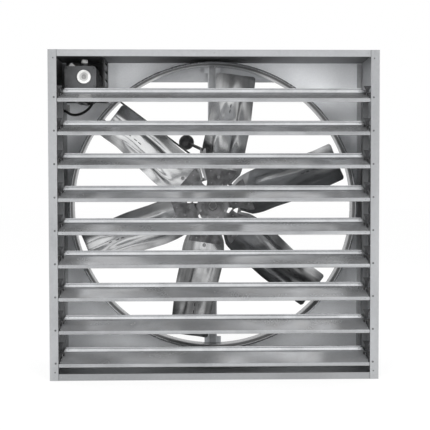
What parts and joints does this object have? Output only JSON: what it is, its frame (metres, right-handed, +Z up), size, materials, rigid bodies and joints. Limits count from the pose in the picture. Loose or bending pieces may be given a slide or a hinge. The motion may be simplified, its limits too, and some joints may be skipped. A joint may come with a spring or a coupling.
{
  "type": "poultry house exhaust fan",
  "caption": "Square galvanised wall fan: belt-driven six-blade propeller in a round collar, motor in one corner, linked outlet shutters held open by a drop weight.",
  "frame": {"origin": "on the floor under the middle of the square casing", "axes": "+Z up, +X to the right seen from the shutters, +Y from the outlet (shutter) side towards the inlet side"},
  "size_m": [1.38, 0.478, 1.38],
  "materials": {
    "galvanised": "galvanised sheet",
    "stainless": "mirror bright",
    "bright_steel": "zinc plated",
    "grey_casting": "grey iron",
    "black_iron": "gloss black",
    "black_paint": "satin black",
    "lamination": "varnished laminations",
    "dark_plastic": "dark grey",
    "black_plastic": "black",
    "black_rubber": "black",
    "white_plastic": "white"
  },
  "bodies": {
    "casing": {"left_side_panel": "galvanised", "right_side_panel": "galvanised", "top_panel": "galvanised", "bottom_panel": "galvanised", "orifice_panel": "galvanised", "venturi_ring": "galvanised", "left_pivot_strip": "black_plastic", "right_pivot_strip": "black_plastic", "support_bar": "galvanised", "upper_bar_bracket": "grey_casting", "lower_bar_bracket": "grey_casting", "axle": "bright_steel", "axle_nut": "bright_steel", "front_inner_race": "bright_steel", "rear_inner_race": "bright_steel", "front_ball_row": "bright_steel", "rear_ball_row": "bright_steel", "v_belt": "black_rubber", "motor_body": "black_paint", "motor_stator": "lamination", "front_end_bell": "black_paint", "rear_end_bell": "black_paint", "front_motor_bearing": "bright_steel", "rear_motor_bearing": "bright_steel", "motor_bracket": "black_paint", "terminal_box": "dark_plastic", "terminal_lid": "dark_plastic", "terminal_cap": "white_plastic", "top_gland": "bright_steel", "cable_gland": "black_plastic", "motor_cable": "black_rubber", "cable_clip": "bright_steel", "cable_grommet": "black_rubber"},
    "shutter_1": {"shutter_1": "galvanised"},
    "shutter_2": {"shutter_2": "galvanised"},
    "shutter_3": {"shutter_3": "galvanised", "hammer_bracket": "grey_casting", "hammer_rod": "black_paint", "hammer_ball": "black_iron"},
    "shutter_4": {"shutter_4": "galvanised"},
    "shutter_5": {"shutter_5": "galvanised"},
    "shutter_6": {"shutter_6": "galvanised"},
    "shutter_7": {"shutter_7": "galvanised"},
    "shutter_8": {"shutter_8": "galvanised"},
    "shutter_9": {"shutter_9": "galvanised"},
    "left_link": {"left_link_bar": "galvanised"},
    "right_link": {"right_link_bar": "galvanised"},
    "fan": {"fan_hub": "grey_casting", "blade_spider": "grey_casting", "blade_1": "stainless", "blade_2": "stainless", "blade_3": "stainless", "blade_4": "stainless", "blade_5": "stainless", "blade_6": "stainless", "driven_pulley": "grey_casting", "front_outer_race": "bright_steel", "rear_outer_race": "bright_steel"},
    "motor_shaft": {"motor_rotor": "bright_steel", "motor_pulley": "grey_casting"}
  },
  "joints": [
    {"name": "shutter_1_hinge", "type": "hinge", "parent": "casing", "child": "shutter_1", "pos_m": [0, -0.1625, 1.2017], "axis": [1, 0, 0], "range_deg": [0, 57]},
    {"name": "shutter_2_hinge", "type": "hinge", "parent": "casing", "child": "shutter_2", "pos_m": [0, -0.1625, 1.063], "axis": [1, 0, 0], "range_deg": [0, 57]},
    {"name": "shutter_3_hinge", "type": "hinge", "parent": "casing", "child": "shutter_3", "pos_m": [0, -0.1625, 0.9243], "axis": [1, 0, 0], "range_deg": [0, 57]},
    {"name": "shutter_4_hinge", "type": "hinge", "parent": "casing", "child": "shutter_4", "pos_m": [0, -0.1625, 0.7856], "axis": [1, 0, 0], "range_deg": [0, 57]},
    {"name": "shutter_5_hinge", "type": "hinge", "parent": "casing", "child": "shutter_5", "pos_m": [0, -0.1625, 0.6469], "axis": [1, 0, 0], "range_deg": [0, 57]},
    {"name": "shutter_6_hinge", "type": "hinge", "parent": "casing", "child": "shutter_6", "pos_m": [0, -0.1625, 0.5082], "axis": [1, 0, 0], "range_deg": [0, 57]},
    {"name": "shutter_7_hinge", "type": "hinge", "parent": "casing", "child": "shutter_7", "pos_m": [0, -0.1625, 0.3695], "axis": [1, 0, 0], "range_deg": [0, 57]},
    {"name": "shutter_8_hinge", "type": "hinge", "parent": "casing", "child": "shutter_8", "pos_m": [0, -0.1625, 0.2308], "axis": [1, 0, 0], "range_deg": [0, 57]},
    {"name": "shutter_9_hinge", "type": "hinge", "parent": "casing", "child": "shutter_9", "pos_m": [0, -0.1625, 0.0921], "axis": [1, 0, 0], "range_deg": [0, 57]},
    {"name": "left_link_pin", "type": "hinge", "parent": "shutter_1", "child": "left_link", "pos_m": [0, -0.0845, 1.2137], "axis": [1, 0, 0], "range_deg": [-57, 0]},
    {"name": "right_link_pin", "type": "hinge", "parent": "shutter_1", "child": "right_link", "pos_m": [0, -0.0845, 1.2137], "axis": [1, 0, 0], "range_deg": [-57, 0]},
    {"name": "fan_spin", "type": "hinge", "parent": "casing", "child": "fan", "pos_m": [0, 0.1345, 0.725], "axis": [0, 1, 0], "continuous": true},
    {"name": "motor_spin", "type": "hinge", "parent": "casing", "child": "motor_shaft", "pos_m": [-0.576, 0.1345, 1.269], "axis": [0, 1, 0], "continuous": true}
  ],
  "couplings": [
    {"joint": "shutter_2_hinge", "follows": "shutter_1_hinge", "ratio": 1},
    {"joint": "shutter_3_hinge", "follows": "shutter_1_hinge", "ratio": 1},
    {"joint": "shutter_4_hinge", "follows": "shutter_1_hinge", "ratio": 1},
    {"joint": "shutter_5_hinge", "follows": "shutter_1_hinge", "ratio": 1},
    {"joint": "shutter_6_hinge", "follows": "shutter_1_hinge", "ratio": 1},
    {"joint": "shutter_7_hinge", "follows": "shutter_1_hinge", "ratio": 1},
    {"joint": "shutter_8_hinge", "follows": "shutter_1_hinge", "ratio": 1},
    {"joint": "shutter_9_hinge", "follows": "shutter_1_hinge", "ratio": 1},
    {"joint": "left_link_pin", "follows": "shutter_1_hinge", "ratio": -1},
    {"joint": "right_link_pin", "follows": "shutter_1_hinge", "ratio": -1},
    {"joint": "motor_spin", "follows": "fan_spin", "ratio": 3.4211}
  ]
}
